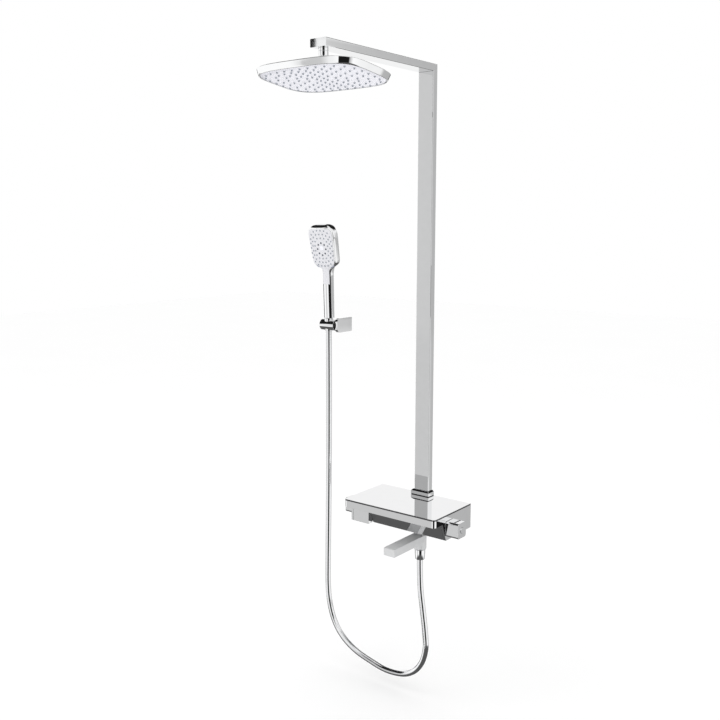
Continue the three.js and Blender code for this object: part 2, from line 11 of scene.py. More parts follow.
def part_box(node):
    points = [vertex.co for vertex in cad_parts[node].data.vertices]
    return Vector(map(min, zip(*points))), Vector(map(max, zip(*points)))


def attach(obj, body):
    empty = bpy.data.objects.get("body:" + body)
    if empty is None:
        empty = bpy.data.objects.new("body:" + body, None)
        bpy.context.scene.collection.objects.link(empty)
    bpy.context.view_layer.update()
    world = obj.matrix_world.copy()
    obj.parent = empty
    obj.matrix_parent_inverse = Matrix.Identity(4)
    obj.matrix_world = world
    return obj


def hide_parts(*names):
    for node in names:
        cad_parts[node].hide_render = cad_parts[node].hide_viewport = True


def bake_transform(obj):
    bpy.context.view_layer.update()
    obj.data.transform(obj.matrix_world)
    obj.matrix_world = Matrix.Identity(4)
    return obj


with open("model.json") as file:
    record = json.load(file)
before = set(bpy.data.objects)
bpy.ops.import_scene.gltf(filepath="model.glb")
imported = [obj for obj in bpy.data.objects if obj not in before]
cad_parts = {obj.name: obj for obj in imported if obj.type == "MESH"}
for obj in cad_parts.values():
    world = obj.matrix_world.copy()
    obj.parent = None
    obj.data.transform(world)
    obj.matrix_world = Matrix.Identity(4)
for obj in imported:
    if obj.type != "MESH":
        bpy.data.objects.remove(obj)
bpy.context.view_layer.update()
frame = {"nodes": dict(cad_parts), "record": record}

MM = 0.001

# ---- driving dimensions, in millimetres, as in the CAD ----
GAP = 0.3                # clearance between neighbouring pieces
ARM_TOP = 1032
ARM_THICK = 16
OUTLET_X = 18
HANG_Y = -50             # the hose and the hand shower hang in this plane
HOSE_RADIUS = 7
HOLDER_X = -262.6
HOLDER_Z = 431.5
BALL = Vector((0, -374, 985))
BALL_RADIUS = 11
HEAD_TILT = -7.5         # degrees about X
HEAD_WIDE = 127.5
HEAD_DEEP = 87.5
HEAD_POWER = 3.8         # exponent of the head's outline; 2 is an ellipse
HEAD_FACE = -28          # height of the face below the ball's centre
COLLAR_LOW = -48.7
COLLAR_HIGH = -24.3
HUB_BOTTOM = -84
NUT_SEAT = -98.8         # the hose nut's inner shoulder
NUT_LOW = -111
FLOOR_Z = -470
HANDSET = Vector((HOLDER_X, -63.85, 623.5))
HANDSET_TILT = 12


# ---- camera ----
def make_camera():
    data = bpy.data.cameras.new("camera")
    data.lens = 44.44
    data.sensor_width = 36
    camera = bpy.data.objects.new("camera", data)
    camera.location = (1.1524, -1.7350, 0.6891)
    camera.rotation_euler = (radians(81.04), 0, radians(38))
    bpy.context.scene.collection.objects.link(camera)
    bpy.context.scene.camera = camera


make_camera()


# ---- mesh helpers: every maker takes millimetres ----
def add_piece(name, bm, smooth=True):
    """A new object from bm, scaled from millimetres to metres."""
    bmesh.ops.recalc_face_normals(bm, faces=bm.faces)
    bm.transform(Matrix.Scale(MM, 4))
    mesh = bpy.data.meshes.new(name)
    bm.to_mesh(mesh)
    bm.free()
    mesh.polygons.foreach_set("use_smooth", [smooth] * len(mesh.polygons))
    piece = bpy.data.objects.new(name, mesh)
    bpy.context.scene.collection.objects.link(piece)
    return piece


def skin(bm, rings, closed=False, cap_start=False, cap_end=False):
    """Quads between rings of vertices, each ring a closed loop."""
    pairs = list(zip(rings, rings[1:]))
    if closed:
        pairs.append((rings[-1], rings[0]))
    for low, high in pairs:
        for i in range(len(low)):
            j = (i + 1) % len(low)
            bm.faces.new((low[i], low[j], high[j], high[i]))
    caps = []
    if cap_start:
        caps.append(bm.faces.new(list(reversed(rings[0]))))
    if cap_end:
        caps.append(bm.faces.new(rings[-1]))
    for cap in caps:
        for edge in cap.edges:
            edge.smooth = False


def add_rings(bm, loops):
    return [[bm.verts.new(point) for point in loop] for loop in loops]


def soften(piece, width, segments=2, angle=32):
    """Rounds the sharp edges of a piece by width, in millimetres, and evens its shading."""
    edge = piece.modifiers.new("edge", "BEVEL")
    edge.width = width * MM
    edge.segments = segments
    edge.limit_method = "ANGLE"
    edge.angle_limit = radians(angle)
    edge.harden_normals = True
    shading = piece.modifiers.new("shading", "WEIGHTED_NORMAL")
    shading.keep_sharp = True
    return piece


def lathe(name, profile, place, sides=64):
    """A closed profile of (radius, height) turned about the Z axis, then put in place."""
    bm = bmesh.new()
    loops = [
        [place @ Vector((r * cos(a), r * sin(a), z)) for a in angles_round(sides)] for r, z in profile
    ]
    skin(bm, add_rings(bm, loops), closed=True)
    return add_piece(name, bm)


def angles_round(count, offset=0.0):
    return [2 * pi * (i + offset) / count for i in range(count)]


def superellipse(wide, deep, power, angle):
    """The point of a superellipse at an angle; a power of 2 is an ellipse."""
    def arm(value, size):
        return size * abs(value) ** (2 / power) * (1 if value >= 0 else -1)

    return arm(cos(angle), wide), arm(sin(angle), deep)


def upright(x, y, z=0):
    return Matrix.Translation((x, y, z))


def sphere_arc(radius, low, high, steps):
    """(radius, height) points on a sphere between two heights."""
    start = asin(low / radius)
    end = asin(high / radius)
    turns = [start + (end - start) * i / steps for i in range(steps + 1)]
    return [(radius * cos(a), radius * sin(a)) for a in turns]


# ---- tubes along a route ----
def centripetal(points, steps=24):
    """A centripetal Catmull-Rom curve through the points."""
    points = [Vector(p) for p in points]
    points = [2 * points[0] - points[1], *points, 2 * points[-1] - points[-2]]
    line = []
    for p0, p1, p2, p3 in zip(points, points[1:], points[2:], points[3:]):
        t1 = (p1 - p0).length ** 0.5
        t2 = t1 + (p2 - p1).length ** 0.5
        t3 = t2 + (p3 - p2).length ** 0.5
        for i in range(steps):
            t = t1 + (t2 - t1) * i / steps
            a1 = p0.lerp(p1, t / t1)
            a2 = p1.lerp(p2, (t - t1) / (t2 - t1))
            a3 = p2.lerp(p3, (t - t2) / (t3 - t2))
            b1 = a1.lerp(a2, t / t2)
            b2 = a2.lerp(a3, (t - t1) / (t3 - t1))
            line.append(b1.lerp(b2, (t - t1) / (t2 - t1)))
    line.append(points[-2])
    return line


def resample(line, step):
    """The same line with its points a step apart."""
    reach = [0.0]
    for a, b in zip(line, line[1:]):
        reach.append(reach[-1] + (b - a).length)
    count = max(2, round(reach[-1] / step))
    even = []
    k = 0
    for i in range(count + 1):
        s = reach[-1] * i / count
        while k < len(line) - 2 and reach[k + 1] < s:
            k += 1
        even.append(line[k].lerp(line[k + 1], (s - reach[k]) / max(reach[k + 1] - reach[k], 1e-9)))
    return even


def length_of(line):
    return sum((b - a).length for a, b in zip(line, line[1:]))


def tube(name, line, radius, sides, ridge=0.0, pitch=4.0, step=1.0):
    """A capped tube; ridge is the height of the helical ribs wound round it every pitch."""
    bm = bmesh.new()
    side = Vector((0, 1, 0))
    loops = []
    for k, point in enumerate(line):
        ahead = line[min(k + 1, len(line) - 1)] - line[max(k - 1, 0)]
        along = ahead.normalized()
        side = (side - along * side.dot(along)).normalized()
        across = along.cross(side)
        loop = []
        for a in angles_round(sides):
            grow = ridge * (cos(2 * pi * k * step / pitch - a) - 1)
            loop.append(point + (side * cos(a) + across * sin(a)) * (radius + grow))
        loops.append(loop)
    skin(bm, add_rings(bm, loops), cap_start=True, cap_end=True)
    return add_piece(name, bm)


# ---- the hose: the route repeats the CAD's points, as (x, z) in the plane y = -0.050 m ----
HOSE_START = (0.018, -0.0998)
HOSE_JOIN = (-0.2642, 0.112)
HOSE_TOP = (-0.2626, 0.4315)
SPLIT_Z = 340            # where the hose's upper stretch ends and its lower one starts
LOWER_POINTS = [
    (0.018, -0.125),
    (0.0205, -0.185),
    (0.028, -0.240),
    (0.035, -0.292),
    (0.0375, -0.332),
    (0.028, -0.371),
    (0.0075, -0.401),
    (-0.020, -0.419),
    (-0.053, -0.427),
    (-0.088, -0.428),
    (-0.122, -0.422),
    (-0.182, -0.405),
    (-0.224, -0.378),
    (-0.250, -0.342),
    (-0.265, -0.294),
    (-0.2695, -0.250),
    (-0.2695, -0.200),
    (-0.267, -0.076),
    (-0.265, 0.050),
]
UPPER_POINTS = [
    (-0.263, 0.250),
    (-0.2626, 0.340),
]


def make_hose():
    """Both stretches by name, each as its piece and its path in metres."""
    route = [HOSE_START, *LOWER_POINTS, HOSE_JOIN, *UPPER_POINTS, HOSE_TOP]
    line = centripetal([(x / MM, HANG_Y, z / MM) for x, z in route])
    split = min(k for k, p in enumerate(line) if p.z > SPLIT_Z)
    stretches = {
        "hose_lower": resample(line[: split + 1], 1.0),
        "hose_upper": resample(line[split:], 1.0),
    }
    return {
        name: (tube(name, points, HOSE_RADIUS, 20, ridge=0.02), [p * MM for p in points])
        for name, points in stretches.items()
    }


hose = make_hose()


# ---- materials ----
def link(tree, source, target):
    tree.links.new(source, target)


def add_node(tree, kind, **values):
    node = tree.nodes.new(kind)
    for key, value in values.items():
        setattr(node, key, value)
    return node


def ramp_stops(node, stops):
    """Fills a colour ramp with (position, colour) stops; a number means a grey."""
    ramp = node.color_ramp
    while len(ramp.elements) < len(stops):
        ramp.elements.new(0.5)
    for element, (position, colour) in zip(ramp.elements, stops):
        element.position = position
        element.color = (*colour, 1) if hasattr(colour, "__len__") else (colour, colour, colour, 1)


def surface(
    name, colour, metallic, rough, grain=60, shade=0.04, bump=0.02, bump_size=400, stretch=(1, 1, 1), **more
):
    """A material whose colour and roughness drift over the surface and whose skin has a fine grain."""
    made = bpy.data.materials.new(name)
    made.use_nodes = True
    tree = made.node_tree
    shader = tree.nodes["Principled BSDF"]
    shader.inputs["Metallic"].default_value = metallic
    for socket, value in more.items():
        shader.inputs[socket.replace("_", " ")].default_value = value
    where = add_node(tree, "ShaderNodeTexCoord")
    mapping = add_node(tree, "ShaderNodeMapping")
    mapping.inputs["Scale"].default_value = stretch
    link(tree, where.outputs["Object"], mapping.inputs["Vector"])

    drift = add_node(tree, "ShaderNodeTexNoise")
    drift.inputs["Scale"].default_value = grain
    drift.inputs["Detail"].default_value = 4
    link(tree, mapping.outputs["Vector"], drift.inputs["Vector"])
    tone = add_node(tree, "ShaderNodeValToRGB")
    darker = [c * (1 - shade) for c in colour]
    lighter = [min(1, c * (1 + shade)) for c in colour]
    ramp_stops(tone, [(0.3, darker), (0.7, lighter)])
    link(tree, drift.outputs["Fac"], tone.inputs["Fac"])
    link(tree, tone.outputs["Color"], shader.inputs["Base Color"])
    gloss = add_node(tree, "ShaderNodeMapRange")
    gloss.inputs["To Min"].default_value = rough[0]
    gloss.inputs["To Max"].default_value = rough[1]
    link(tree, drift.outputs["Fac"], gloss.inputs["Value"])
    link(tree, gloss.outputs["Result"], shader.inputs["Roughness"])

    fine = add_node(tree, "ShaderNodeTexNoise")
    fine.inputs["Scale"].default_value = bump_size
    fine.inputs["Detail"].default_value = 3
    link(tree, mapping.outputs["Vector"], fine.inputs["Vector"])
    relief = add_node(tree, "ShaderNodeBump")
    relief.inputs["Strength"].default_value = bump
    relief.inputs["Distance"].default_value = 0.0002
    link(tree, fine.outputs["Fac"], relief.inputs["Height"])
    link(tree, relief.outputs["Normal"], shader.inputs["Normal"])
    return made


# slot: (name, colour, metallic, roughness, and what differs from the defaults)
FINISHES = {
    "chrome": ("chrome_plate", (0.88, 0.885, 0.89), 1, (0.01, 0.04), dict(shade=0.012, bump=0.001)),
    "chromed_plastic": (
        "chromed_plastic", (0.90, 0.905, 0.91), 1, (0.03, 0.06),
        dict(shade=0.012, bump=0.016),
    ),
    "dark_chrome": (
        "dark_cover_chrome", (0.84, 0.845, 0.85), 1, (0.03, 0.06),
        dict(shade=0.02, bump=0.015),
    ),
    "mirror_plate": (
        "mirror_glass_plate", (0.93, 0.93, 0.935), 1, (0.01, 0.02),
        dict(shade=0.006, bump=0.004),
    ),
    "brass": (
        "cast_brass", (0.62, 0.46, 0.22), 1, (0.32, 0.48),
        dict(grain=45, shade=0.12, bump=0.35, bump_size=900),
    ),
    "steel": (
        "brushed_steel", (0.60, 0.61, 0.62), 1, (0.24, 0.36),
        dict(shade=0.06, bump=0.12, bump_size=300, stretch=(1, 1, 12)),
    ),
    "white_plastic": (
        "white_plastic", (0.88, 0.88, 0.94), 0, (0.22, 0.30),
        dict(shade=0.012, bump=0.03, bump_size=700),
    ),
    "grey_plastic": (
        "grey_plastic", (0.33, 0.36, 0.44), 0, (0.42, 0.52),
        dict(shade=0.05, bump=0.08, bump_size=800),
    ),
    "black_rubber": (
        "black_rubber", (0.02, 0.02, 0.02), 0, (0.6, 0.75),
        dict(shade=0.2, bump=0.2, bump_size=900),
    ),
    "hose_silver": (
        "hose_silver", (0.86, 0.865, 0.875), 1, (0.015, 0.04),
        dict(grain=120, shade=0.03, bump=0.01, bump_size=1200),
    ),
    "hand_white": (
        "hand_shower_white", (0.74, 0.74, 0.77), 0, (0.2, 0.28),
        dict(shade=0.012, bump=0.03, bump_size=700),
    ),
    "nozzle_rubber": (
        "nozzle_rubber", (0.36, 0.385, 0.43), 0, (0.4, 0.5),
        dict(shade=0.08, bump=0.1, bump_size=900),
    ),
    "nozzle_dark": (
        "nozzle_dark", (0.11, 0.12, 0.15), 0, (0.4, 0.5),
        dict(shade=0.08, bump=0.1, bump_size=900),
    ),
    "spout_satin": (
        "satin_spout", (0.66, 0.665, 0.67), 0.1, (0.34, 0.42),
        dict(shade=0.012, bump=0.02, Specular_IOR_Level=0.3),
    ),
}
MATERIALS = {key: surface(*finish, **more) for key, (*finish, more) in FINISHES.items()}


def darken_upright_faces(made, dark):
    """Faces that stand upright turn dark, as the cut edge of a glass plate does."""
    tree = made.node_tree
    target = tree.nodes["Principled BSDF"].inputs["Base Color"]
    source = target.links[0].from_socket
    where = add_node(tree, "ShaderNodeTexCoord")
    parts = add_node(tree, "ShaderNodeSeparateXYZ")
    link(tree, where.outputs["Normal"], parts.inputs["Vector"])
    steep = add_node(tree, "ShaderNodeMath", operation="ABSOLUTE")
    link(tree, parts.outputs["Z"], steep.inputs[0])
    share = add_node(tree, "ShaderNodeMapRange")
    for socket, value in [("From Min", 0.5), ("From Max", 0.8), ("To Min", 1), ("To Max", 0)]:
        share.inputs[socket].default_value = value
    link(tree, steep.outputs["Value"], share.inputs["Value"])
    mix = add_node(tree, "ShaderNodeMix", data_type="RGBA")
    ends = [socket for socket in mix.inputs if socket.type == "RGBA"]
    link(tree, share.outputs["Result"], mix.inputs["Factor"])
    link(tree, source, ends[0])
    ends[1].default_value = dark
    link(tree, next(socket for socket in mix.outputs if socket.type == "RGBA"), target)


darken_upright_faces(MATERIALS["mirror_plate"], (0.12, 0.12, 0.125, 1))


def dress(piece, slot, finish=None):
    """Gives a piece its material slot, and a finish of its own where the slot's isn't meant."""
    piece.data.materials.clear()
    piece.data.materials.append(MATERIALS[finish or slot])


# ---- the carried-over CAD nodes: their edges are rounded and they get their finish ----
EDGE = {
    "riser_column": 0.8,
    "overhead_arm": 0.8,
    "shelf_housing": 1.2,
    "shelf_top_plate": 0.5,
    "spout_body": 1.6,
    "temperature_knob": 0.9,
    "flow_knob": 0.9,
    "foot_collar": 0.6,
    "valve_body": 1.0,
    "holder_bracket": 0.6,
    "diverter_key": 0.9,
    "body_cover": 0.5,
    "handset_holder": 0.5,
}
SMALL_EDGE = 0.25
OWN_FINISH = {"spout_body": "spout_satin"}
WELD = 0.002             # vertices closer than this are one


def finish_cad_nodes():
    """Rounds and dresses every CAD node; its mesh stays as it was packed."""
    slots = {row["node"]: row["material_slot"] for row in frame["record"]["subparts"]}
    for name, node in frame["nodes"].items():
        node.data.polygons.foreach_set("use_smooth", [True] * len(node.data.polygons))
        weld = node.modifiers.new("weld", "WELD")
        weld.merge_threshold = WELD * MM
        flat = node.modifiers.new("flat", "DECIMATE")
        flat.decimate_type = "DISSOLVE"
        flat.angle_limit = radians(1)
        soften(node, EDGE.get(name, SMALL_EDGE))
        node.data.materials.clear()
        node.data.materials.append(MATERIALS[OWN_FINISH.get(name, slots[name])])


finish_cad_nodes()


# ---- turned pieces, finer than in the CAD ----
def head_frame():
    """The rain head's own frame, with its origin in the ball's centre."""
    return Matrix.Translation(BALL) @ Matrix.Rotation(radians(HEAD_TILT), 4, "X")


def make_turned():
    """The nipple, the nuts and the collar: each is a closed profile of (radius, height)."""
    outlet = upright(OUTLET_X, HANG_Y)
    holder = upright(HOLDER_X, HANG_Y)
    nipple_top = ARM_TOP - ARM_THICK - GAP - BALL.z
    water = 3.2
    neck = 5.5
    ball_low = -((BALL_RADIUS**2 - water**2) ** 0.5)
    ball_high = (BALL_RADIUS**2 - neck**2) ** 0.5
    nipple = [
        (water, ball_low),
        *sphere_arc(BALL_RADIUS, ball_low + 0.01, ball_high, 14),
        (neck, 16),
        (9.5, 16),
        (9.5, nipple_top - 7),
        (9.1, nipple_top - 6.6),
        (9.1, nipple_top - 6),
        (9.5, nipple_top - 5.6),
        (9.5, nipple_top),
        (4.7, nipple_top),
        (4.7, nipple_top + 2.8),
        (water, nipple_top + 2.8),
    ]
    ball_nut = [
        (13.3, -10),
        (17.5, -10),
        (17.5, -3),
        (17.1, -2.6),
        (17.1, -2),
        (17.5, -1.6),
        (17.5, 6),
        (14.5, 9),
        *sphere_arc(13.3, 9, 0, 8),
    ]
    hose_nut = [
        (10.4, HUB_BOTTOM - 3.1),
        (12.4, HUB_BOTTOM - 3.1),
        (12.4, HUB_BOTTOM - 12),
        (11.2, NUT_LOW),
        (7.4, NUT_LOW),
        (7.4, NUT_SEAT),
        (10.4, NUT_SEAT),
    ]
    cone_nut = [
        (9.1, HOLDER_Z - 15),
        (10.75, HOLDER_Z + 16.5),
        (4.6, HOLDER_Z + 16.5),
        (4.6, HOLDER_Z + 1),
        (7.4, HOLDER_Z + 1),
        (7.4, HOLDER_Z - 15),
    ]
    collar = [
        (10.4, COLLAR_LOW),
        (14.2, COLLAR_LOW),
        (14.2, -34.2),
        (13.7, -33.7),
        (13.7, -32.9),
        (14.2, -32.4),
        (14.2, COLLAR_HIGH),
        (10.4, COLLAR_HIGH),
    ]
    rows = [
        ("arm_nipple", "arm_ball_nipple", nipple, upright(*BALL), "chrome", "fixed_body", 0.4),
        ("ball_nut_turned", "ball_nut", ball_nut, head_frame(), "chromed_plastic", "overhead_head", 0.6),
        ("hose_nut_turned", "hose_nut", hose_nut, outlet, "chrome", "fixed_body", 0.5),
        ("cone_nut_turned", "hose_cone_nut", cone_nut, holder, "chrome", "hand_shower", 0.5),
        ("outlet_collar_turned", "outlet_collar", collar, outlet, "chrome", "fixed_body", 0.3),
    ]
    made = {}
    for name, node, profile, place, slot, body, edge in rows:
        piece = soften(lathe(name, profile, place, 72), edge, angle=20)
        dress(piece, slot)
        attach(piece, body)
        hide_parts(node)
        made[name] = piece
    return made


turned = make_turned()


# ---- the hose's finish ----
def declare_hose():
    """Dresses each stretch of the hose, bakes its transform into its mesh and hides the CAD node it stands
    for.
    """
    rows = [
        ("hose_upper", "hand_shower", "tilting_holder", "shower_hose_upper", "cone_nut_turned"),
        ("hose_lower", "tilting_holder", "fixed_body", "shower_hose_lower", "hose_nut_turned"),
    ]
    for name, body_a, body_b, node, nut in rows:
        piece, path = hose[name]
        dress(piece, "hose_silver")
        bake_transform(piece)
        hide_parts(node)


declare_hose()


# ---- the rain head: sections are (inset from the outline, height in the head's own frame) ----
RIM = [
    (8, -24.6), (5.9, -24.8), (5.9, -27.2), (5.5, -27.7),
    (4.7, -27.7), (4.2, -27.2), (3.3, -24.8), (1.6, -20),
]
BACK = [
    (0.6, -17), (0.1, -15.6), (0.4, -14.8), (1.6, -14.3),
    (4, -14.1), (9, -14), (22, -13.7), (42, -13.1),
]
FACE_BORDER = [
    (6.3, -24.9), (6.3, -26.2), (6.7, -26.6), (9, -27),
    (12, -27.6), (15, -27.95), (19, -28), (40, -28),
]
BOSS = [(18.2, -12), (17.5, -11.6), (17.5, -10.4), (15, -10.3)]  # (radius, height)
HEAD_NOZZLE_RINGS = 6
SUNK = 0.1               # how deep a nozzle's foot is set into its face


def head_ring(wide, deep, power, z, sides=144):
    return [Vector((*superellipse(wide, deep, power, a), z)) for a in angles_round(sides, 0.5)]


def inset_rings(sections):
    return [head_ring(HEAD_WIDE - inset, HEAD_DEEP - inset, HEAD_POWER, z) for inset, z in sections]


def make_head_piece(name, loops):
    """A closed piece from loops given in the head's own frame."""
    bm = bmesh.new()
    rings = add_rings(bm, [[head_frame() @ p for p in loop] for loop in loops])
    skin(bm, rings, cap_start=True, cap_end=True)
    return add_piece(name, bm)


def make_head_shell():
    """The shell from the rim's inner lip, over the rim and the gently domed back, to its boss."""
    loops = inset_rings(RIM + BACK)
    loops += [head_ring(46, 34, 2.8, -12.6), head_ring(24, 22, 2.2, -12.2)]
    loops += [head_ring(radius, radius, 2, z) for radius, z in BOSS]
    shell = soften(make_head_piece("head_shell_formed", loops), 0.25, angle=40)
    finish_head(shell, "chromed_plastic", "head_shell")


def finish_head(piece, slot, node):
    dress(piece, slot)
    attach(piece, "overhead_head")
    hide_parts(node)


def make_head_face():
    """The white face: its border slopes up towards the rim."""
    loops = inset_rings(FACE_BORDER)
    loops += [head_ring(50, 26, 3, HEAD_FACE), head_ring(16, 12, 2, HEAD_FACE)]
    finish_head(make_head_piece("head_face_formed", loops), "white_plastic", "head_face")


def nozzle(bm, base, out, radius, height):
    """A soft spray tip: a stub with a rounded end and a small mouth."""
    side = out.orthogonal().normalized()
    across = out.cross(side)
    round_it = [side * cos(a) + across * sin(a) for a in angles_round(10)]
    rows = [(1.25, 0), (1.2, 0.25), (0.95, 0.4), (0.85, 0.85), (0.7, 1), (0.38, 1), (0.32, 0.7)]
    loops = [
        [base + out * (height * rise) + way * (radius * grow) for way in round_it]
        for grow, rise in rows
    ]
    skin(bm, add_rings(bm, loops), cap_start=True, cap_end=True)


def ring_of_nozzles(wide, deep, power, spacing, offset):
    """Points spread evenly round a superellipse, spacing apart."""
    outline = [Vector((*superellipse(wide, deep, power, a), 0)) for a in angles_round(240)]
    outline.append(outline[0])
    count = round(length_of(outline) / spacing)
    even = resample(outline, length_of(outline) / (count * 8))
    first = round(8 * offset)
    return [even[(8 * i + first) % (8 * count)] for i in range(count)]


def make_head_nozzles():
    """Rings of nozzles that turn from the head's outline to an ellipse towards the middle."""
    place = head_frame()
    out = (place.to_3x3() @ Vector((0, 0, -1))).normalized()
    bm = bmesh.new()
    for k in range(HEAD_NOZZLE_RINGS):
        share = k / (HEAD_NOZZLE_RINGS - 1)
        wide = 112 - 98 * share
        deep = 72 - 65 * share
        power = HEAD_POWER - 1.5 * share
        for spot in ring_of_nozzles(wide, deep, power, 19.5 - 3 * share, 0.5 * (k % 2)):
            nozzle(bm, place @ Vector((spot.x, spot.y, HEAD_FACE + SUNK)), out, 1.8, 2.6)
    piece = add_piece("head_nozzles", bm)
    dress(piece, "grey_plastic", "nozzle_rubber")
    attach(piece, "overhead_head")


make_head_shell()
make_head_face()
make_head_nozzles()


# ---- the hand shower ----
GRIP_FOOT = HOLDER_Z + 17
GRIP_TOP = 575
GRIP_HALF = 12.8
GRIP_LEAN = 3.6          # the grip's top stands this far forward of its foot
GRIP_SWING = radians(50)  # half the angle of the arc across the grip's front
GRIP_CORNER = 0.8
HEAD_SQUARENESS = 7      # exponent of the head's section; 2 is an ellipse
FACE_DEPTH = -12         # the spray face, in the head's own frame
CHIN = -56
CHIN_BLEND = 16          # above the chin, the grip's section turns into the head's over this height
CROWN_START = 48.5
CROWN_TALL = 7.5
# (height in the head's own frame, half width), chin to crown
HEAD_OUTLINE = [
    (-56, 13.2), (-53, 16), (-49, 22), (-45, 28.5), (-41, 33), (-36, 35.4),
    (-20, 36.6), (10, 38.8), (26, 39.9), (34, 39.5), (40, 38.2), (45, 35.8),
    (49, 32.6), (52, 28.8), (54.3, 24), (55.4, 19.5), (55.9, 14),
]
BODY_GRIP_HEIGHTS = [GRIP_FOOT, GRIP_FOOT + 6, 480, 505, 532, 550, 560]
BODY_HEAD_HEIGHTS = [
    -54, -51, -48, -45, -42, -39, -36, -30, -20, 0, 20, 30, 36, 41, 45, 48.5,
    50, 51.5, 53, 54.3, 55.2, 55.8,
]
FACE_GRIP_HEIGHTS = [532, 532.6, 538, 545, 552, 559, 566]
# (half width, half height, share of a spacing by which the ring is turned)
SMALL_RINGS = [(20, 24.5, 0.5), (26.5, 34, 0), (32.5, 43, 0.5)]
SMALL_SPACING = 11
LARGE_JETS = 8


def handset_frame():
    """The hand shower head's own frame: X across, Z up towards its crown, the face towards -Y."""
    return Matrix.Translation(HANDSET) @ Matrix.Rotation(radians(HANDSET_TILT), 4, "X")


def handset_half_width(s):
    for (s0, w0), (s1, w1) in zip(HEAD_OUTLINE, HEAD_OUTLINE[1:]):
        if s <= s1:
            return w0 + (w1 - w0) * (s - s0) / (s1 - s0)
    return HEAD_OUTLINE[-1][1]


def rounded_section(half, front, back, power, sides):
    """A flat oval across the hand shower: X by depth, front and back measured from its middle line."""
    middle = (front + back) / 2
    loop = []
    for a in angles_round(sides, 0.5):
        x, y = superellipse(half, (back - front) / 2, power, a)
        loop.append(Vector((x, y + middle, 0)))
    return loop


def front_radius(half):
    return (half - GRIP_CORNER) / sin(GRIP_SWING)


def grip_section(half, deep, back):
    """The grip's section: an arc across the front, flat sides and small corners."""
    radius = front_radius(half)
    loop = []
    for i in range(25):
        a = GRIP_SWING * (i / 12 - 1)
        loop.append((radius * sin(a), radius * (1 - cos(a)) - deep))
    edge = radius * (1 - cos(GRIP_SWING)) - deep
    right = [(half - 0.3, edge + 0.4), (half, edge + 1.2), (half, back - 3), (half - 0.4, back - 1.5)]
    right += [(half - 1.5, back - 0.4), (half - 3, back)]
    return [Vector((x, y, 0)) for x, y in [*loop, *right, *((-x, y) for x, y in reversed(right))]]


def grip_row(z):
    """The grip at height z: (place, half width, front, back, share of the head's section)."""
    share = (z - GRIP_FOOT) / (GRIP_TOP - GRIP_FOOT)
    place = Matrix.Translation((HOLDER_X, HANG_Y - GRIP_LEAN * share, z))
    deep = 8.4 + share
    return place, GRIP_HALF, deep, deep, 0


def head_row(s):
    """The head at height s of its own frame, in the same terms as grip_row."""
    near = min(1, max(0, (s - CHIN) / CHIN_BLEND))
    crown = max(0, (s - CROWN_START) / CROWN_TALL) ** 2
    place = handset_frame() @ Matrix.Translation((0, 0, s))
    front = 9.3 + 2.1 * near - 5.5 * crown
    back = 9.3 + 2.3 * near - 4.5 * crown
    return place, handset_half_width(s), front, back, near


def handset_section(half, front, back, near):
    """The section of a row: the grip's, the head's flat oval, or a blend of the two."""
    grip = grip_section(half, front, back)
    if near == 0:
        return grip
    oval = rounded_section(half, -front, back, HEAD_SQUARENESS, 720)
    blended = []
    for point in grip:
        # the oval's point in the same direction from the middle
        aim = Vector((point.x, point.y)).normalized()
        match = max(oval, key=lambda p: Vector((p.x, p.y)).normalized().dot(aim))
        blended.append(point.lerp(match, near))
    return blended


def make_handset_body():
    """The grip and the head as one skin, from the grip's foot to the head's crown."""
    rows = [grip_row(z) for z in BODY_GRIP_HEIGHTS]
    rows += [head_row(s) for s in BODY_HEAD_HEIGHTS]
    loops = [[place @ p for p in handset_section(*shape)] for place, *shape in rows]
    bm = bmesh.new()
    skin(bm, add_rings(bm, loops), cap_start=True, cap_end=True)
    body = add_piece("handset_body_formed", bm)
    soften(body, 0.4, angle=50)
    dress(body, "chromed_plastic")
    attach(body, "hand_shower")
    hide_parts("handset_body")


def make_handset_face():
    """One white moulding: the spray face, its chin and the front of the neck, just proud of the body."""
    # each row with how much narrower it is than the body
    rows = [(grip_row(z), 0) for z in FACE_GRIP_HEIGHTS]
    rows += [(head_row(s), 0) for s in range(-54, 45, 2)]
    rows += [(head_row(45.2), 1), (head_row(46.5), 3), (head_row(47.4), 6.5)]
    columns = [-1, -0.985, -0.95, -0.85, -0.7, -0.5, -0.25, 0, 0.25, 0.5, 0.7, 0.85, 0.95, 0.985, 1]
    proud = 0.6
    grid = []
    bm = bmesh.new()
    for k, ((place, half, front, _, near), narrower) in enumerate(rows):
        plate = 0.8 * half * (1 - near) + (half - 3.3) * near - narrower
        radius = front_radius(half)
        line = []
        for u in columns:
            x = u * plate
            curved = front - (radius - (radius**2 - x**2) ** 0.5)
            depth = curved + (max(front, -FACE_DEPTH - proud) - curved) * near
            folded = 1.6 if abs(u) == 1 or k in (0, len(rows) - 1) else 0
            line.append(bm.verts.new(place @ Vector((x, folded - depth - proud, 0))))
        grid.append(line)
    for low, high in zip(grid, grid[1:]):
        for i in range(len(columns) - 1):
            bm.faces.new((low[i], low[i + 1], high[i + 1], high[i]))
    face = add_piece("handset_face_formed", bm)
    thick = face.modifiers.new("thick", "SOLIDIFY")
    thick.thickness = 1.2 * MM
    thick.offset = -1
    soften(face, 0.25, angle=35)
    dress(face, "white_plastic", "hand_white")
    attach(face, "hand_shower")
    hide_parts("handset_face")


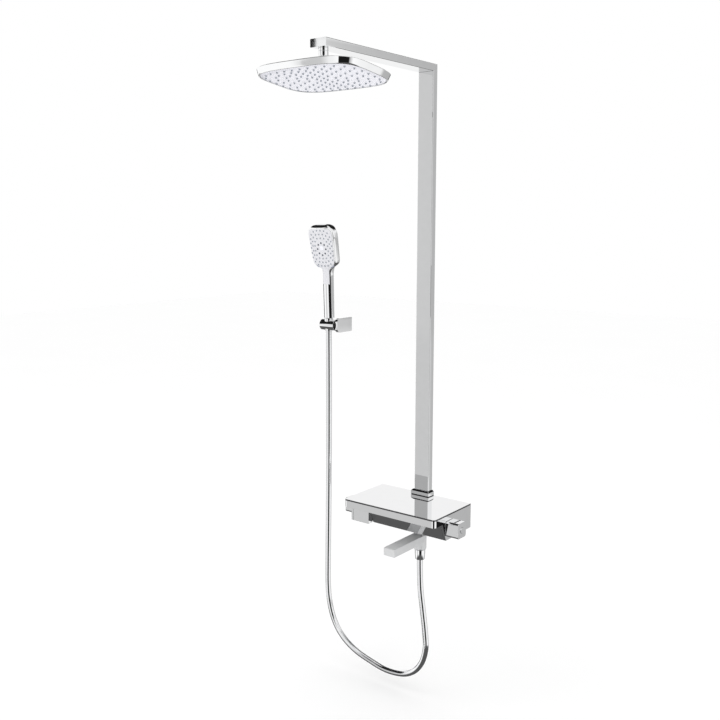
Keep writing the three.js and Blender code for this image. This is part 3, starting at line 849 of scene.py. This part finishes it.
def make_handset_nozzles():
    """Rings of small nozzles round a ring of larger jets; the lower ones stand a little closer in."""
    place = handset_frame()
    out = (place.to_3x3() @ Vector((0, -1, 0))).normalized()
    small = bmesh.new()
    for wide, tall, offset in SMALL_RINGS:
        for spot in ring_of_nozzles(wide, tall, 3.2, SMALL_SPACING, offset):
            drop = -1.5 if spot.y < 0 else 0
            keep = 0.94 if spot.y < -30 else 1
            foot = Vector((spot.x * keep, FACE_DEPTH + SUNK, spot.y + drop))
            nozzle(small, place @ foot, out, 1.8, 1.0)
    large = bmesh.new()
    for a in angles_round(LARGE_JETS):
        foot = Vector((13 * cos(a), FACE_DEPTH + SUNK, 15 * sin(a) - 2.5))
        nozzle(large, place @ foot, out, 2.0, 1.1)
    for name, bm, finish in [
        ("handset_nozzles", small, "nozzle_rubber"),
        ("handset_jets", large, "nozzle_dark"),
    ]:
        piece = add_piece(name, bm)
        dress(piece, "grey_plastic", finish)
        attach(piece, "hand_shower")


make_handset_body()
make_handset_face()
make_handset_nozzles()


# ---- the coil springs, which the CAD holds as sleeves ----
def make_spring(name, node, axis, body):
    """A helix that fills the CAD sleeve of a spring."""
    low, high = (Vector(corner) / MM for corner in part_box(node))
    middle = (low + high) / 2
    size = high - low
    along = {"x": Vector((1, 0, 0)), "y": Vector((0, 1, 0))}[axis]
    side = {"x": Vector((0, 1, 0)), "y": Vector((1, 0, 0))}[axis]
    across = along.cross(side)
    reach = size.dot(along)
    wire = 0.5 if reach > 5 else 0.25
    radius = size.z / 2 - wire
    turns = max(2, round((reach - 2 * wire) / (5 * wire)))
    steps = 20 * turns
    line = []
    for i in range(steps + 1):
        a = 2 * pi * turns * i / steps
        rise = (reach / 2 - wire) * (2 * i / steps - 1)
        line.append(middle + along * rise + (side * cos(a) + across * sin(a)) * radius)
    piece = tube(name, line, wire, 8)
    dress(piece, "steel")
    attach(piece, body)
    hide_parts(node)


make_spring("diverter_coil", "diverter_spring", "y", "fixed_body")
make_spring("safety_coil", "safety_button_spring", "x", "temperature_control")


# ---- floor and light, in metres ----
FLOOR_HALF = 9


def make_floor():
    bm = bmesh.new()
    level = Matrix.Translation((0, 0, FLOOR_Z))
    bmesh.ops.create_grid(bm, x_segments=1, y_segments=1, size=FLOOR_HALF / MM, matrix=level)
    floor = add_piece("floor", bm, smooth=False)
    pale = surface("pale_floor", (0.99, 0.99, 0.99), 0, (0.85, 0.95), grain=2, shade=0.003, bump=0.0)
    pale.node_tree.nodes["Principled BSDF"].inputs["Specular IOR Level"].default_value = 0
    floor.data.materials.append(pale)
    floor.visible_glossy = False


def add_light(name, place, target, size, power):
    data = bpy.data.lights.new(name, "AREA")
    data.size = size
    data.energy = power
    lamp = bpy.data.objects.new(name, data)
    lamp.location = place
    lamp.rotation_euler = (Vector(target) - Vector(place)).to_track_quat("-Z", "Y").to_euler()
    lamp.visible_glossy = False
    bpy.context.scene.collection.objects.link(lamp)


# What polished metal mirrors, as bands of light round the horizon, one above the other. A band is
# (sine of the height at which it starts, its stops), and a stop is (degrees to the right of the
# front, brightness): white openings, grey walls, black flats and a dark ceiling.
FRONT = radians(38)
FRONT_FLAT = [(-25, 1.08), (-24, 0.012), (24, 0.012), (27, 0.45), (46, 1.08)]
BELOW_LEVEL = [
    (-180, 0.96), (-172, 0.96), (-169, 0.03), (-130, 0.03), (-127, 1.08), (-80, 1.08),
    (-79, 0.62), (-66, 0.64), (-52, 0.96), *FRONT_FLAT,
    (104, 0.96), (109, 0.50), (165, 0.45), (172, 0.96), (180, 0.96),
]
AT_LEVEL = [
    (-180, 0.96), (-172, 0.96), (-169, 0.04), (-155, 0.04), (-152, 1.08), (-80, 1.08),
    (-76, 0.85), (-74, 0.66), (-66, 0.64), (-52, 0.96), *FRONT_FLAT,
    (90, 0.98), (100, 0.80), (103, 0.60), (109, 0.50),
    (150, 0.45), (153, 0.05), (168, 0.05), (171, 0.96), (180, 0.96),
]
ABOVE_LEVEL = [
    (-180, 0.94), (-101, 0.94), (-100, 0.01), (-79, 0.01), (-78.8, 0.46), (-60, 0.46),
    (-50, 0.94), (180, 0.94),
]
CEILING = [(-180, 0.012), (-62, 0.012), (-54, 0.9), (98, 0.9), (106, 0.012), (180, 0.012)]
OVERHEAD = [(-180, 0.90), (180, 0.90)]
STUDIO_BANDS = [
    (-0.46, BELOW_LEVEL),
    (-0.13, AT_LEVEL),
    (0.20, ABOVE_LEVEL),
    (0.43, CEILING),
    (0.92, OVERHEAD),
]
BAND_BLUR = 0.006
# Patches on the bands: ((from, to) in degrees, (from, to) in sine of the height, brightness).
STUDIO_PATCHES = [
    ((-82.5, -78.75), (0.06, 0.20), 0.012),
    ((30, 109), (-0.108, -0.05), 0.50),
    ((-172, -130), (-0.15, -0.07), 0.03),
]
GROUND = 0.105


def make_world():
    """A plain white surround; only glossy rays see the studio bands."""
    world = bpy.data.worlds.new("studio")
    bpy.context.scene.world = world
    world.use_nodes = True
    tree = world.node_tree
    tree.nodes.clear()
    where = add_node(tree, "ShaderNodeTexCoord")
    parts = add_node(tree, "ShaderNodeSeparateXYZ")
    link(tree, where.outputs["Generated"], parts.inputs["Vector"])

    def dot(direction):
        node = add_node(tree, "ShaderNodeVectorMath", operation="DOT_PRODUCT")
        node.inputs[1].default_value = direction
        link(tree, where.outputs["Generated"], node.inputs[0])
        return node.outputs["Value"]

    def math(operation, *values):
        node = add_node(tree, "ShaderNodeMath", operation=operation)
        for socket, value in zip(node.inputs, values):
            if isinstance(value, (int, float)):
                socket.default_value = value
            else:
                link(tree, value, socket)
        return node.outputs["Value"]

    def ramp(value, stops):
        node = add_node(tree, "ShaderNodeValToRGB")
        ramp_stops(node, stops)
        link(tree, value, node.inputs["Fac"])
        return node.outputs["Color"]

    ahead = dot((sin(FRONT), -cos(FRONT), 0))
    right = dot((cos(FRONT), sin(FRONT), 0))
    turn = math("ARCTAN2", right, ahead)
    round_share = math("MULTIPLY_ADD", turn, 1 / (2 * pi), 0.5)
    height = math("MULTIPLY_ADD", parts.outputs["Z"], 0.5, 0.5)

    def mix(factor, low, high):
        node = add_node(tree, "ShaderNodeMix", data_type="RGBA")
        link(tree, factor, node.inputs["Factor"])
        ends = [socket for socket in node.inputs if socket.type == "RGBA"]
        link(tree, low, ends[0])
        link(tree, high, ends[1])
        return next(socket for socket in node.outputs if socket.type == "RGBA")

    lit = ramp(round_share, [(0.0, GROUND), (1.0, GROUND)])
    for start, stops in STUDIO_BANDS:
        share = start / 2 + 0.5
        reached = ramp(height, [(0.0, 0), (share - BAND_BLUR, 0), (share + BAND_BLUR, 1), (1.0, 1)])
        band = ramp(round_share, [(angle / 360 + 0.5, value) for angle, value in stops])
        lit = mix(reached, lit, band)

    def between(value, low, high):
        return math("MULTIPLY", math("GREATER_THAN", value, low), math("LESS_THAN", value, high))

    for (start, end), (low, high), value in STUDIO_PATCHES:
        beside = between(turn, radians(start), radians(end))
        level = between(parts.outputs["Z"], low, high)
        lit = mix(math("MULTIPLY", beside, level), lit, ramp(round_share, [(0.0, value), (1.0, value)]))

    rays = add_node(tree, "ShaderNodeLightPath")
    seen = add_node(tree, "ShaderNodeBackground")
    plain = add_node(tree, "ShaderNodeBackground")
    plain.inputs["Color"].default_value = (1, 1, 1, 1)
    link(tree, lit, seen.inputs["Color"])
    choose = add_node(tree, "ShaderNodeMixShader")
    link(tree, rays.outputs["Is Glossy Ray"], choose.inputs["Fac"])
    link(tree, plain.outputs["Background"], choose.inputs[1])
    link(tree, seen.outputs["Background"], choose.inputs[2])
    output = add_node(tree, "ShaderNodeOutputWorld")
    link(tree, choose.outputs["Shader"], output.inputs["Surface"])


make_floor()
make_world()
add_light("key", (-1.6, -2.4, 2.6), (0, 0, 0.4), 2.0, 12)
add_light("fill", (2.2, -1.8, 0.2), (0, 0, 0.5), 2.0, 5)
bpy.context.scene.view_settings.view_transform = "Standard"
bpy.context.scene.view_settings.look = "None"
